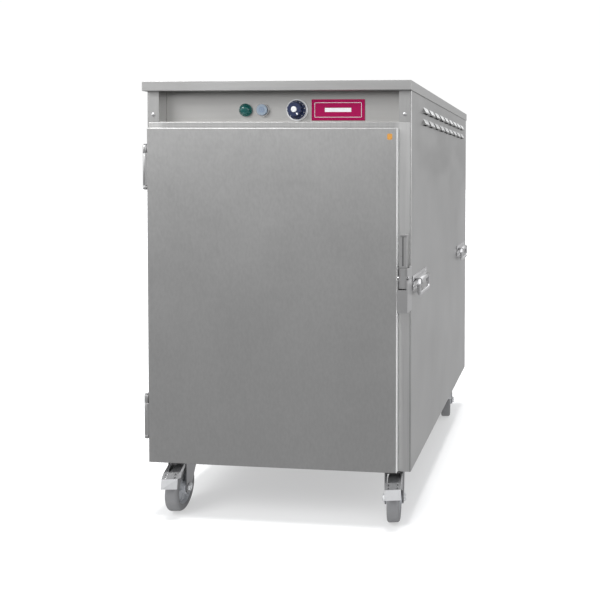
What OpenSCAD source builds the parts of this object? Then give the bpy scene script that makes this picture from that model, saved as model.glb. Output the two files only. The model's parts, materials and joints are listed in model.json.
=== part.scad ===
// Insulated proofing cabinet on four braked swivel casters.
// Millimetres, +Z up, front towards -Y. The origin is on the floor under the middle of the body.

/* [Cabinet] */
// Width over the side panels
body_w = 600; // [600:10:700]
// Depth from the front frame to the rear edge of the side panels
body_d = 800; // [780:10:900]
// Height from the floor to the top of the cover
body_h = 972; // [972:10:1092]
// Height of the panels' lower edge above the floor
skirt_z = 122; // [122:1:126]
// Thickness of the sheet steel
sheet = 1.2; // [1:0.1:1.5]
// Thickness of the insulated side walls
wall = 49; // [40:1:60]

/* [Cover] */
// Height of the cover's folded lip
lip_h = 21; // [15:1:25]
// How far the cover stands out in front of the front frame
cover_front = 15; // [10:1:20]
// How far the cover stands out at the sides and at the back
cover_side = 2; // [2:0.5:6]

/* [Control recess] */
// Height of the recess above the door
recess_h = 89; // [80:1:95]
// How deep the control fascia is set back
recess_d = 30; // [25:1:35]
// Width of the cheek plates beside the fascia
cheek_w = 28; // [24:1:34]

/* [Door] */
// Thickness of the door's outer pan
door_t = 13.5; // [12:0.5:16]
// Gap between the door's pan and the front frame
door_gap = 1.5; // [1:0.1:2]
// Stile left showing beside the door on the hinge side
stile_left = 8.5; // [8:0.5:9]
// Stile left showing beside the door on the latch side
stile_right = 28.2; // [28:0.1:30]
// How far the door's insulated plug reaches into the opening
plug_d = 28; // [15:1:35]
// Length of each hinge
hinge_l = 98; // [60:1:120]
// Height of the middle of the upper hinge
hinge_top_z = 783; // [700:1:790]
// Height of the middle of the lower hinge
hinge_low_z = 226; // [212:1:300]

/* [Latch] */
// Height of the lever's pin
latch_z = 551; // [450:1:600]
// How far the latch stands out from the front frame
latch_out = 42; // [42:1:50]
// Length of the lever above its pin
lever_l = 93; // [70:1:120]
// How far the lever swings
lever_swing = 55; // [30:1:60]

/* [Louvres] */
// Louvres in one row
louvre_n = 9; // [5:1:9]
// Distance from one louvre to the next
louvre_pitch = 69.6; // [60:0.2:72]
// Length of one louvre
louvre_l = 44; // [40:1:56]

/* [Side handles] */
// Length of the handle's plate
handle_l = 146; // [120:2:150]
// Distance from the front frame to the middle of the front handle
handle_front = 80; // [80:1:120]
// Distance from the rear edge to the middle of the rear handle
handle_rear = 110; // [80:1:130]
// Height of the handle's hinge tube
handle_z = 536; // [450:1:600]

/* [Casters] */
// Wheel diameter
wheel_dia = 100; // [98:1:101]
// Width of the tread
tread_w = 28; // [24:1:29]
// Distance from a swivel axis to the middle of the cabinet
caster_x = 250; // [240:1:256]
// Distance of the front swivel axes behind the front frame
caster_front = 63.5; // [62.5:0.5:90]
// Distance of the rear swivel axes in front of the rear edge
caster_rear = 87.5; // [60:0.5:100]
// How far the wheel trails behind the swivel axis
trail = 35; // [33:1:36]

/* [Chamber] */
// Runner levels in the tray rack
rack_n = 8; // [4:1:8]
// Distance from one runner level to the next
rack_pitch = 68; // [50:1:68]
// Tray width that the runners carry
tray_w = 400; // [360:10:400]

/* [Hidden] */
$fn = 48;

steel = [0.70, 0.70, 0.70];
dark_steel = [0.45, 0.46, 0.47];
foam = [0.93, 0.86, 0.60];
rubber = [0.42, 0.42, 0.43];
black = [0.08, 0.08, 0.09];

// Running clearance between a pin and its bore, on the radius
run = 0.05;
// Small gap between pieces that are laid against each other
lay = 0.1;

// Main planes
half_w = body_w / 2;
front_y = -body_d / 2;
rear_y = body_d / 2;
in_x = half_w - sheet - lay;
hem = 3.4;
front_x = half_w - hem - lay;
rail_top = body_h - recess_h;
fascia_y = front_y + recess_d;
fascia_x = half_w - cheek_w;
frame_d = 41;
frame_back = front_y + frame_d;
foam_top = body_h - 96;

// Chassis
chassis_z = 136;
plate_t = 4;
tube_h = 24;
tube_w = 30;
base_z = chassis_z + plate_t + tube_h + 1.5;

// Chamber and door opening
open_x = half_w - wall - 1;
open_z0 = 206;
open_z1 = 848;
liner_x = open_x + 1;
liner_z0 = open_z0 - 2;
liner_z1 = open_z1 + 2;
liner_y1 = rear_y - wall + 2;
liner_t = 1;

// Door
door_x0 = -half_w + stile_left;
door_x1 = half_w - stile_right;
door_z0 = skirt_z + 2;
door_z1 = rail_top - 13;
door_back = front_y - door_gap;
door_y = door_back - door_t;
plug_x0 = -open_x + 4;
plug_x1 = open_x - 6;
plug_z0 = open_z0 + 4;
plug_z1 = open_z1 - 4;
plug_y = front_y + plug_d;
core_back = door_back - 4.5;
pin_x = door_x0 - 6.5;
pin_y = door_y + 6;
knuckle_r = 5.5;
// Ends of the hinge's door knuckle, above its middle
knuckle_z = [-41, 31];
hinge_pin_r = 3;

// Gasket ring around the opening
gasket_w = 11;
gasket_off = 5;

// Controls, measured along the fascia
lamp_x = -85;
button_x = -45;
knob_x = 34;
control_z = rail_top + 29.5;

// Latch
latch_w = 22.5;
latch_x1 = half_w + 1.5;
latch_x0 = latch_x1 - latch_w;
latch_y = front_y - latch_out;
latch_low = latch_z - 73;
lever_y = latch_y + 12;
lever_pin_r = 4;
cheek_t = 2.5;
hub_x0 = latch_x0 + cheek_t + 0.4;
hub_x1 = latch_x1 - cheek_t - 0.4;

// Side handles
handle_ys = [front_y + handle_front, rear_y - handle_rear];
tube_x = half_w + 10.5;
handle_r = 4.5;
bail_drop = 30;
bail_w = 98;
handle_screw_z = [-10, 6];

// Casters
wheel_r = wheel_dia / 2;
axle_r = 6;
fork_in = 18.3;
fork_t = 2.5;
nut_h = 4;
caster_front_y = front_y + caster_front;
caster_rear_y = rear_y - caster_rear;
// Swivel angle of each caster as it stands
turn_fl = 8;
turn_fr = 10.5;
turn_rl = 9;
turn_rr = 11;
pedal_pivot = [-42, 109];
crown_z = [112, 118];

// The power plug reaches as far behind the middle as the latch does in front of it
rear_reach = -latch_y;
plug_r = 19;
cord_r = 4.5;
cord_x = -200;
cord_z = foam_top + 40;
cord_y = rear_reach - plug_r;

// Fan
fan_x = 0;
fan_y = 40;
shaft_r = 4;

// ---- helpers -----------------------------------------------------------------------------------

// A box given by its limits
module block(x, y, z) {
  translate([x[0], y[0], z[0]])
    cube([x[1] - x[0], y[1] - y[0], z[1] - z[0]]);
}

// Round bars along each axis; span holds the two ends
module bar_x(span, y, z, r) {
  translate([span[0], y, z])
    rotate([0, 90, 0])
      cylinder(r = r, h = span[1] - span[0]);
}

module bar_y(span, x, z, r) {
  translate([x, span[1], z])
    rotate([90, 0, 0])
      cylinder(r = r, h = span[1] - span[0]);
}

module bar_z(span, x, y, r) {
  translate([x, y, span[0]])
    cylinder(r = r, h = span[1] - span[0]);
}

// A flat rectangular ring in the XZ plane, w wide
module ring_xz(x, y, z, w) {
  difference() {
    block(x, y, z);
    block([x[0] + w, x[1] - w], [y[0] - 1, y[1] + 1], [z[0] + w, z[1] - w]);
  }
}

// ---- body --------------------------------------------------------------------------------------

// Frame of open channels, welded corner plates for the casters and the sheet floor on top
module chassis_frame() {
  x = [-in_x, in_x];
  y = [frame_back + lay, rear_y - sheet - 3];
  z = [chassis_z + plate_t, chassis_z + plate_t + tube_h];
  t = 2;
  color(dark_steel)
    difference() {
      union() {
        difference() {
          block(x, y, z);
          block([x[0] + tube_w, x[1] - tube_w], [y[0] + tube_w, y[1] - tube_w],
                [z[0] - 1, z[1] + 1]);
          difference() {
            block([x[0] + t, x[1] - t], [y[0] + t, y[1] - t], [z[0] - 1, z[1] - t]);
            block([x[0] + tube_w - t, x[1] - tube_w + t], [y[0] + tube_w - t, y[1] - tube_w + t],
                  [z[0] - 2, z[1]]);
          }
        }
        for (sy = [caster_front_y, caster_rear_y])
          block([x[0] + tube_w - 1, x[1] - tube_w + 1], [sy - 2, sy + 2], z);
        for (sx = [-caster_x, caster_x], sy = [caster_front_y, caster_rear_y])
          block([max(sx - 42, -in_x), min(sx + 42, in_x)],
                [max(sy - 52, y[0]), min(sy + 52, y[1])], [chassis_z, chassis_z + plate_t]);
        block(x, y, [z[1], base_z]);
      }
      caster_bolts(4.25, [chassis_z - 1, z[1] - t - 1]);
    }
}

// Bolt positions of all caster plates, as bars of radius r
module caster_bolts(r, z) {
  for (sx = [-caster_x, caster_x], sy = [caster_front_y, caster_rear_y])
    for (bx = [-30, 30], by = [-40, 40])
      bar_z(z, sx + bx, sy + by, r);
}

// Section of one louvre hood, outside and inside
hood_out = [[-0.2, 9.5], [6.4, -2], [6.4, -5], [-0.2, -5]];
hood_in = [[-4, 7.4], [0, 7.4], [5.2, -2.3], [5.2, -6], [-4, -6]];

module louvre_solid(profile, l) {
  translate([0, l / 2, 0])
    rotate([90, 0, 0])
      linear_extrude(height = l)
        polygon(profile);
}

module at_louvres() {
  first_y = front_y + 141;
  for (i = [0:louvre_n - 1], row = [0, 1])
    translate([half_w, first_y + i * louvre_pitch, body_h - 54 - 27 * row])
      children();
}

// Right side panel: hemmed front edge, folded edges at the top and back, two rows of louvres
module right_side_panel() {
  top = body_h - 1.6;
  color(steel)
    difference() {
      union() {
        block([half_w - sheet, half_w], [front_y, rear_y], [skirt_z, top]);
        block([half_w - hem, half_w], [front_y, front_y + 10], [skirt_z, top]);
        block([half_w - 15, half_w], [frame_back, rear_y], [top - sheet, top]);
        block([half_w - 15, half_w], [rear_y - sheet, rear_y], [skirt_z, top]);
        at_louvres()
          louvre_solid(hood_out, louvre_l);
      }
      at_louvres()
        louvre_solid(hood_in, louvre_l - 2.4);
    }
}

module left_side_panel() {
  mirror([1, 0, 0])
    right_side_panel();
}

// Rear panel, behind the side panels' folded edges
module rear_panel() {
  y1 = rear_y - sheet - lay;
  color(steel)
    difference() {
      block([-in_x, in_x], [y1 - sheet, y1], [skirt_z, body_h - 3]);
      bar_y([y1 - 3, y1 + 1], cord_x, cord_z, 10.25);
    }
}

// Cover with a lip all round and a return fold under the front lip
module top_cover() {
  x = half_w + cover_side;
  y0 = front_y - cover_front;
  y1 = rear_y + cover_side;
  color(steel)
    union() {
      difference() {
        block([-x, x], [y0, y1], [body_h - lip_h, body_h]);
        block([-x + 1.5, x - 1.5], [y0 + 1.5, y1 - 1.5], [body_h - lip_h - 1, body_h - 1.5]);
      }
      block([-x + 1, x - 1], [y0 + 1, y0 + 12], [body_h - lip_h, body_h - lip_h + sheet]);
    }
}

// Front frame: stiles and rails folded as one channel that is open to the back
module front_frame() {
  t = 1.5;
  color(steel)
    difference() {
      block([-front_x, front_x], [front_y, frame_back], [skirt_z, rail_top]);
      block([-open_x, open_x], [front_y - 1, frame_back + 1], [open_z0, open_z1]);
      difference() {
        block([-front_x + t, front_x - t], [front_y + t, frame_back + 1],
              [skirt_z + t, rail_top - t]);
        block([-open_x - t, open_x + t], [front_y, frame_back + 2], [open_z0 - t, open_z1 + t]);
      }
    }
}

// Cheek plates beside the control fascia, each with a side wall that runs back to it
module fascia_cheeks() {
  z = [rail_top + lay, body_h - 3];
  color(steel)
    for (s = [0, 1])
      mirror([s, 0, 0]) {
        block([fascia_x, front_x], [front_y, front_y + sheet], z);
        block([fascia_x, fascia_x + sheet], [front_y, fascia_y - lay], z);
      }
}

// Control fascia with a floor fold that reaches forward over the top rail
module control_fascia() {
  x = [-fascia_x + lay, fascia_x - lay];
  color(steel)
    difference() {
      union() {
        block(x, [fascia_y, fascia_y + sheet], [rail_top + lay, body_h - 3]);
        block(x, [front_y + 0.5, fascia_y + sheet], [rail_top + lay, rail_top + lay + sheet]);
      }
      for (cx = [lamp_x, button_x])
        bar_y([fascia_y - 1, fascia_y + 3], cx, control_z, 11.25);
      bar_y([fascia_y - 1, fascia_y + 3], knob_x, control_z, 5.5);
    }
}

// Foam around the liner, open at the front, with passages for the fan shaft and heater leads
module insulation() {
  color(foam)
    difference() {
      block([-in_x + lay, in_x - lay], [frame_back + lay, rear_y - 2 * sheet - 3 * lay],
            [base_z + lay, foam_top]);
      block([-liner_x - liner_t - lay, liner_x + liner_t + lay],
            [frame_back - 1, liner_y1 + liner_t + lay],
            [liner_z0 - liner_t - lay, liner_z1 + liner_t + lay]);
      bar_z([liner_z1, foam_top + 1], fan_x, fan_y, 8);
      heater_leads(5);
    }
}

// Chamber box, open at the front
module inner_liner() {
  color(steel)
    difference() {
      block([-liner_x - liner_t, liner_x + liner_t], [frame_back + lay, liner_y1 + liner_t],
            [liner_z0 - liner_t, liner_z1 + liner_t]);
      block([-liner_x, liner_x], [frame_back - 1, liner_y1], [liner_z0, liner_z1]);
      bar_z([liner_z1 - 1, liner_z1 + 3], fan_x, fan_y, 8);
      heater_leads(5);
    }
}

// ---- chamber -----------------------------------------------------------------------------------

// Right rack: two posts on stand-offs, with angled runners for the trays
module tray_rack_right() {
  x0 = tray_w / 2 + 5;
  low = liner_z0 + 48;
  color(steel)
    union() {
      for (py = [-250, 210]) {
        block([x0, x0 + 15], [py - 7.5, py + 7.5], [low - 18, low + rack_pitch * (rack_n - 1) + 30]);
        for (pz = [low, low + rack_pitch * (rack_n - 1)])
          bar_x([x0 + 10, liner_x - lay], py, pz, 6);
      }
      for (i = [0:rack_n - 1]) {
        z = low + i * rack_pitch;
        block([x0 - 20, x0], [-330, 300], [z, z + 1.5]);
        block([x0 - 1.5, x0], [-330, 300], [z, z + 16]);
      }
    }
}

module tray_rack_left() {
  mirror([1, 0, 0])
    tray_rack_right();
}

// Open water pan on the chamber floor, for the humidity
module water_tray() {
  z0 = liner_z0 + lay;
  color(steel)
    difference() {
      block([-160, 160], [-60, 200], [z0, z0 + 36]);
      block([-158.5, 158.5], [-58.5, 198.5], [z0 + 1.5, z0 + 40]);
    }
}

// The two leads of the heater, as bars of radius r
module heater_leads(r) {
  for (s = [-1, 1])
    bar_z([liner_z1 - 14, foam_top + 12], fan_x + 110 * s, fan_y, r);
}

// Tubular heater ring around the fan
module heater_element() {
  color(dark_steel)
    union() {
      translate([fan_x, fan_y, liner_z1 - 14])
        rotate_extrude($fn = 96)
          translate([110, 0])
            circle(r = 4);
      heater_leads(4);
    }
}

// Baffle under the fan: intake hole in the middle, folded edges hung from the ceiling
module air_baffle() {
  x = 190;
  y = [-150, 230];
  z = liner_z1 - 36;
  color(steel)
    difference() {
      union() {
        block([-x, x], y, [z, z + sheet]);
        for (s = [-1, 1])
          block([s * x - (s > 0 ? sheet : 0), s * x + (s > 0 ? 0 : sheet)], y, [z, liner_z1 - lay]);
      }
      bar_z([z - 1, z + 3], fan_x, fan_y, 55);
    }
}

module fan_motor() {
  color(dark_steel)
    difference() {
      union() {
        bar_z([foam_top + lay, foam_top + 3], fan_x, fan_y, 52);
        bar_z([foam_top + 2, foam_top + 55], fan_x, fan_y, 40);
      }
      bar_z([foam_top - 1, foam_top + 30], fan_x, fan_y, shaft_r + run);
    }
}

// Fan wheel: shaft, hub, back plate and blades
module fan_wheel() {
  top = liner_z1 - 4;
  color(dark_steel)
    translate([fan_x, fan_y, 0])
      union() {
        bar_z([top - 20, foam_top + 28], 0, 0, shaft_r);
        bar_z([top - 20, top], 0, 0, 10);
        bar_z([top - 2, top], 0, 0, 78);
        for (a = [0:40:320])
          rotate([0, 0, a])
            translate([38, 0, top - 18])
              rotate([0, 0, 35])
                cube([38, 1.5, 17]);
      }
}

// ---- controls ----------------------------------------------------------------------------------

// Lamp barrel behind the fascia with its collar in front and its nut behind
module pilot_lamp_body() {
  color(dark_steel)
    translate([lamp_x, fascia_y, control_z])
      difference() {
        union() {
          bar_y([-4, -lay], 0, 0, 14.5);
          bar_y([-1, 34], 0, 0, 11);
          bar_y([sheet + lay, sheet + 4], 0, 0, 15);
        }
        bar_y([-5, 6], 0, 0, 9);
      }
}

// Domed lens
module pilot_lamp_lens() {
  dome_r = 18;
  color("green")
    translate([lamp_x, fascia_y - 4 - lay, control_z])
      intersection() {
        bar_y([-12, 0], 0, 0, 12.4);
        translate([0, dome_r - 9.5, 0])
          sphere(r = dome_r, $fn = 64);
      }
}

module button_body() {
  color(steel)
    translate([button_x, fascia_y, control_z])
      difference() {
        union() {
          bar_y([-5, -lay], 0, 0, 14.5);
          bar_y([-1, 34], 0, 0, 11);
          bar_y([sheet + lay, sheet + 4], 0, 0, 15);
        }
        bar_y([-6, -1.2], 0, 0, 12.3);
        bar_y([-2, 12], 0, 0, 5 + run);
      }
}

// Push button: cap with a guide stem
module button_cap() {
  color("white")
    translate([button_x, fascia_y, control_z])
      union() {
        bar_y([-8.5, -4.7], 0, 0, 12);
        bar_y([-5, 7], 0, 0, 5);
      }
}

module thermostat_body() {
  color(dark_steel)
    translate([knob_x, fascia_y + sheet + lay, control_z])
      difference() {
        union() {
          block([-22, 22], [0, 34], [-22, 22]);
          bar_y([-sheet - 1.5, 1], 0, 0, 5.4);
        }
        bar_y([-4, 22], 0, 0, 3 + run);
      }
}

module knob_bezel() {
  color(steel)
    translate([knob_x, fascia_y, control_z])
      difference() {
        bar_y([-2.6, -lay], 0, 0, 24.5);
        bar_y([-4, 1], 0, 0, 8);
      }
}

// Knob: wide skirt, fluted grip, spindle
module thermostat_knob() {
  color(black)
    translate([knob_x, fascia_y, control_z])
      union() {
        bar_y([-7, -3], 0, 0, 21);
        difference() {
          bar_y([-20, -6], 0, 0, 16);
          for (a = [0:30:330])
            rotate([0, a, 0])
              bar_y([-21, -7.5], 18, 0, 3.2);
        }
        bar_y([-21.5, -19], 0, 0, 6.5);
        bar_y([-4, 20], 0, 0, 3);
      }
}

// Plain plate with a raised border
module name_plate() {
  x = [knob_x + 33, knob_x + 154];
  z = [control_z - 23.5, control_z + 23.5];
  color("crimson")
    union() {
      block(x, [fascia_y - 1.2, fascia_y - lay], z);
      ring_xz(x, [fascia_y - 1.8, fascia_y - 1], z, 2);
    }
}

module terminal_block() {
  color("white")
    block([-40, 40], [240, 262], [foam_top + lay, foam_top + 22]);
}

// One wire: from the terminal block, round the fan motor, to the back of a control
module wire(start_x, route_x, end_x, lane) {
  r = 2;
  low = foam_top + 12;
  up = control_z + 5 - 5 * lane;
  from_y = 234 - 6 * lane;
  to_y = fascia_y + 38;
  bar_y([from_y, 239.8], start_x, low, r);
  bar_x([min(start_x, route_x) - r, max(start_x, route_x) + r], from_y, low, r);
  bar_y([to_y - r, from_y], route_x, low, r);
  bar_z([low, up], route_x, to_y, r);
  bar_x([min(end_x, route_x) - r, max(end_x, route_x) + r], to_y, up, r);
}

// Wires from the terminal block to the controls and to the fan motor
module wiring() {
  color(black)
    union() {
      wire(-32, -80, lamp_x, 0);
      wire(-20, -66, button_x, 1);
      wire(20, 70, knob_x, 1);
      bar_y([fan_y + 40.5, 239.8], 0, foam_top + 12, 2);
    }
}

// Power cord: out of the gland, down the back, with a plug at its end
module power_cable() {
  bend = cord_y - rear_y - 12;
  plug_z = cord_z - 330;
  color(black)
    union() {
      bar_y([rear_y - 60, rear_y + 12], cord_x, cord_z, cord_r);
      translate([cord_x, rear_y + 12, cord_z - bend])
        rotate([90, 0, 90])
          rotate_extrude(angle = 90)
            translate([bend, 0])
              circle(r = cord_r);
      bar_z([plug_z, cord_z - bend], cord_x, cord_y, cord_r);
      bar_z([plug_z - 20, plug_z], cord_x, cord_y, 8);
      bar_z([plug_z - 58, plug_z - 20], cord_x, cord_y, plug_r);
      for (s = [-1, 1])
        bar_z([plug_z - 77, plug_z - 58], cord_x + 9.5 * s, cord_y, 2.4);
    }
}

module cable_gland() {
  y1 = rear_y - sheet - lay;
  color(black)
    difference() {
      union() {
        bar_y([y1 - 8, rear_y + 10], cord_x, cord_z, 10);
        bar_y([y1 + lay, y1 + 6], cord_x, cord_z, 14);
        bar_y([y1 - sheet - 6, y1 - sheet - lay], cord_x, cord_z, 14);
      }
      bar_y([y1 - 10, rear_y + 12], cord_x, cord_z, cord_r + 0.1);
    }
}

// ---- door --------------------------------------------------------------------------------------

// Folded pan with a narrow return all round
module door_outer_skin() {
  x = [door_x0, door_x1];
  z = [door_z0, door_z1];
  color(steel)
    union() {
      difference() {
        block(x, [door_y, door_back], z);
        block([x[0] + sheet, x[1] - sheet], [door_y + sheet, door_back + 1],
              [z[0] + sheet, z[1] - sheet]);
      }
      ring_xz([x[0] + 1, x[1] - 1], [door_back - sheet, door_back], [z[0] + 1, z[1] - 1], 4);
    }
}

module door_insulation() {
  inset = sheet + lay;
  color(foam)
    union() {
      block([door_x0 + inset, door_x1 - inset], [door_y + inset, core_back],
            [door_z0 + inset, door_z1 - inset]);
      block([plug_x0 + inset, plug_x1 - inset], [core_back - 1, plug_y - inset],
            [plug_z0 + inset, plug_z1 - inset]);
    }
}

// Inner pan of the door: the plug that reaches into the opening, with a flange that closes the
// outer pan all round
module door_inner_skin() {
  inset = sheet + lay;
  x = [plug_x0, plug_x1];
  z = [plug_z0, plug_z1];
  y0 = core_back + lay;
  color(steel)
    difference() {
      union() {
        block(x, [y0, plug_y], z);
        block([door_x0 + inset, door_x1 - inset], [y0, y0 + sheet],
              [door_z0 + inset, door_z1 - inset]);
      }
      block([x[0] + sheet, x[1] - sheet], [y0 - 1, plug_y - sheet],
            [z[0] + sheet, z[1] - sheet]);
    }
}

// Seal ring that meets the front frame around the opening
module door_gasket() {
  out = gasket_off + gasket_w;
  color(rubber)
    ring_xz([-open_x - out, open_x + out], [core_back + sheet + 2 * lay, front_y - 0.3],
            [open_z0 - out, open_z1 + out], gasket_w);
}

// Strike plate on the door's free edge
module door_strike() {
  color(steel)
    block([door_x1 + 0.02, door_x1 + 1.5], [door_y + 1.5, door_back - 1],
          [latch_z - 62, latch_z - 22]);
}

// Hinge knuckles: outer ones on the frame leaf, middle one on the door leaf
module at_hinges() {
  for (z = [hinge_low_z, hinge_top_z])
    translate([0, 0, z])
      children();
}

// Frame leaf: outer knuckles and a plate on the side panel
module hinge_frame_leaves() {
  h = hinge_l / 2;
  x = -half_w;
  color(steel)
    at_hinges()
      difference() {
        union() {
          for (span = [[-h, knuckle_z[0]], [knuckle_z[1], h]]) {
            bar_z(span, pin_x, pin_y, knuckle_r);
            block([x - 2.5, x - 0.02], [pin_y, front_y + 1], span);
          }
          block([x - 2.5, x - 0.02], [front_y, front_y + 32], [-h, h]);
        }
        bar_z([-h - 1, h + 1], pin_x, pin_y, hinge_pin_r + run);
        for (z = [-h + 14, 0, h - 14])
          bar_x([x - 4, x + 1], front_y + 18, z, 2.25);
      }
}

// Door leaf: middle knuckle and a plate on the door's edge
module hinge_door_leaves() {
  span = knuckle_z + [0.3, -0.3];
  h = hinge_l / 2;
  color(steel)
    at_hinges()
      difference() {
        union() {
          bar_z(span, pin_x, pin_y, knuckle_r);
          block([pin_x, door_x0 - 0.02], [door_y + 1, door_y + 3.5], span);
          block([door_x0 - 2, door_x0 - 0.02], [door_y + 1, door_back - 1], span);
        }
        bar_z([-h, h], pin_x, pin_y, hinge_pin_r + run);
      }
}

module hinge_pins() {
  h = hinge_l / 2;
  color(dark_steel)
    at_hinges()
      union() {
        bar_z([-h - 1, h + 2], pin_x, pin_y, hinge_pin_r);
        bar_z([h + lay, h + 3], pin_x, pin_y, hinge_pin_r + 1);
      }
}

// ---- latch -------------------------------------------------------------------------------------

// Housing: base plate on the stile, two cheeks, and a front plate below the lever's hub
module latch_housing() {
  z = [latch_low, latch_z + 21];
  plate_top = latch_z - 24;
  color(steel)
    difference() {
      union() {
        block([latch_x0, latch_x1], [front_y - 3, front_y - 0.02], z);
        for (x = [latch_x0, latch_x1 - cheek_t])
          block([x, x + cheek_t], [latch_y, front_y - 1], z);
        block([latch_x0, latch_x1], [latch_y, latch_y + cheek_t], [z[0], plate_top]);
        block([latch_x0, latch_x1], [latch_y, front_y - 1], [z[0], z[0] + cheek_t]);
      }
      bar_x([latch_x0 - 1, latch_x1 + 1], lever_y, latch_z, lever_pin_r);
      for (x = [latch_x0 - 1, latch_x1 - cheek_t])
        block([x, x + cheek_t + 1], [latch_y - 1, lever_y], [latch_z - 3.4, latch_z + 3.4]);
      block([latch_x0 - 1, latch_x0 + cheek_t + 1], tongue_y + [-0.3, 0.3],
            tongue_z + [-0.3, 0.3]);
    }
}

module latch_pin() {
  color("white")
    bar_x([latch_x0 - 1.2, latch_x1 + 1.2], lever_y, latch_z, lever_pin_r);
}

// Lever: round hub on the pin, tail below it and the slim grooved bar above it
module latch_lever() {
  mid = (latch_x0 + latch_x1) / 2;
  bar = [mid - 7.8, mid + 7.8];
  bar_y0 = lever_y - 5;
  tip = latch_z + lever_l;
  color(steel)
    difference() {
      union() {
        bar_x([hub_x0, hub_x1], lever_y, latch_z, 9);
        block([hub_x0, hub_x1], [lever_y - 9, lever_y + 5], [latch_z - 22, latch_z]);
        block(bar, [bar_y0 - 4, lever_y + 6], [latch_z, latch_z + 20]);
        block(bar, [bar_y0, lever_y + 2], [latch_z + 16, tip]);
        block([bar[0] + 0.5, bar[1] + 1], [bar_y0 - 5, lever_y + 2], [tip - 2.5, tip]);
      }
      bar_x([hub_x0 - 1, hub_x1 + 1], lever_y, latch_z, lever_pin_r + run);
      block([mid - 1.7, mid + 1.7], [bar_y0 - 1, bar_y0 + 2.5], [latch_z + 26, tip - 5]);
    }
}

tongue_y = [front_y - 14, front_y - 5];
tongue_z = [latch_z - 54, latch_z - 34];

// Spring tongue with a slanted nose; it stops just clear of the strike plate
module latch_tongue() {
  x = [door_x1 + 2.2, latch_x0 + 11];
  color(dark_steel)
    translate([0, 0, tongue_z[0]])
      linear_extrude(height = tongue_z[1] - tongue_z[0])
        polygon([[x[0], tongue_y[0]], [x[1], tongue_y[0]], [x[1], tongue_y[1]],
                 [x[0] + 3, tongue_y[1]]]);
}

// ---- side handles ------------------------------------------------------------------------------

// Right-hand plate with its rolled hinge tube, about the point at the tube's middle
module handle_plate() {
  l = handle_l / 2;
  t = bail_w / 2 - 6;
  x0 = half_w + 0.02 - tube_x;
  color("white")
    difference() {
      union() {
        block([x0, x0 + 2], [-l, l], [-18, 14]);
        block([x0 + 1, 0], [-t, t], [2, 6]);
        bar_y([-t, t], 0, 0, 6);
      }
      bar_y([-t - 1, t + 1], 0, 0, handle_r - 0.3 + run);
      for (y = [-l + 8, l - 8], z = handle_screw_z)
        bar_x([x0 - 1, x0 + 3], y, z, 2.25);
    }
}

module handle_plates() {
  for (s = [0, 1], y = handle_ys)
    mirror([s, 0, 0])
      translate([tube_x, y, handle_z])
        handle_plate();
}

// Bail: two pivot ends in the tube, two legs and the grip
module handle_bail() {
  l = bail_w / 2;
  color("white")
    union() {
      for (s = [-1, 1]) {
        translate([0, s * l, 0])
          sphere(r = handle_r);
        translate([0, s * l, -bail_drop])
          sphere(r = handle_r);
        bar_z([-bail_drop, 0], 0, s * l, handle_r);
        bar_y(s > 0 ? [l - 28, l] : [-l, -l + 28], 0, 0, handle_r - 0.3);
      }
      bar_y([-l, l], 0, -bail_drop, handle_r);
    }
}

module place_bail(side, y) {
  translate([side * tube_x, y, handle_z])
    handle_bail();
}

// ---- casters -----------------------------------------------------------------------------------

// Caster pieces are drawn about the swivel axis at floor level, trailing towards -Y
module at_caster(sx, sy, turn) {
  translate([sx * caster_x, sy, 0])
    rotate([0, 0, turn])
      children();
}

// Top plate with its race and kingpin
module caster_plate() {
  color(dark_steel)
    difference() {
      union() {
        block([-39, 39], [-50, 50], [chassis_z - 3, chassis_z - 0.02]);
        bar_z([crown_z[1] + lay, chassis_z - 2], 0, 0, 20);
        bar_z([crown_z[0] - 5, chassis_z - 2], 0, 0, 6);
        bar_z([crown_z[0] - 5, crown_z[0] - lay], 0, 0, 9);
      }
      for (bx = [-30, 30], by = [-40, 40])
        bar_z([chassis_z - 4, chassis_z + 1], bx, by, 4.25);
    }
}

module caster_plates() {
  for (sx = [-1, 1], sy = [caster_front_y, caster_rear_y])
    translate([sx * caster_x, sy, 0])
      caster_plate();
}

// Outline of a fork leg, seen from the side
module leg_outline() {
  top = crown_z[1] - 0.5;
  polygon([[22, top], [-46, top], [-48, 104], [-48, 52], [-24, 46], [6, 88], [22, 104]]);
  translate([-trail, wheel_r])
    circle(r = 13);
}

// Fork: crown, two legs, the axle bolt and the rod that the brake pedal turns on
module caster_fork() {
  out = fork_in + fork_t;
  color(dark_steel)
    difference() {
      union() {
        bar_z(crown_z, 0, 0, 30);
        for (x = [-out, fork_in])
          translate([x, 0, 0])
            rotate([90, 0, 90])
              linear_extrude(height = fork_t)
                leg_outline();
        bar_x([-out - nut_h - 1, out + nut_h + 1], -trail, wheel_r, axle_r);
        for (x = [-out - nut_h, out])
          bar_x([x, x + nut_h], -trail, wheel_r, 7.5);
        bar_x([-out, out], pedal_pivot[0], pedal_pivot[1], 2.5);
      }
      bar_z(crown_z + [-1, 1], 0, 0, 6 + run);
    }
}

// Wheel: moulded centre with its tread, on a plain bore
module caster_wheel() {
  half_t = tread_w / 2;
  bore = axle_r + run;
  color(rubber)
    translate([0, -trail, wheel_r])
      rotate([0, 90, 0])
        rotate_extrude($fn = 96)
          union() {
            polygon([[bore, -17.4], [14, -17.4], [16, -8], [33, -6], [35, -half_t],
                     [wheel_r - 5, -half_t], [wheel_r - 5, half_t], [35, half_t], [33, 6], [16, 8],
                     [14, 17.4], [bore, 17.4]]);
            translate([wheel_r - 6, -half_t + 6])
              square([6, tread_w - 12]);
            for (s = [-1, 1])
              translate([wheel_r - 6, s * (half_t - 6)])
                circle(r = 6);
          }
}

// Foot and top of the pedal's sloping outer face, and how steeply it climbs towards the pivot
slope_foot = [-88.5, 92];
slope_top = [-77.2, 102.6];
slope_angle = atan2(slope_top[1] - slope_foot[1], slope_top[0] - slope_foot[0]);
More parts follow.
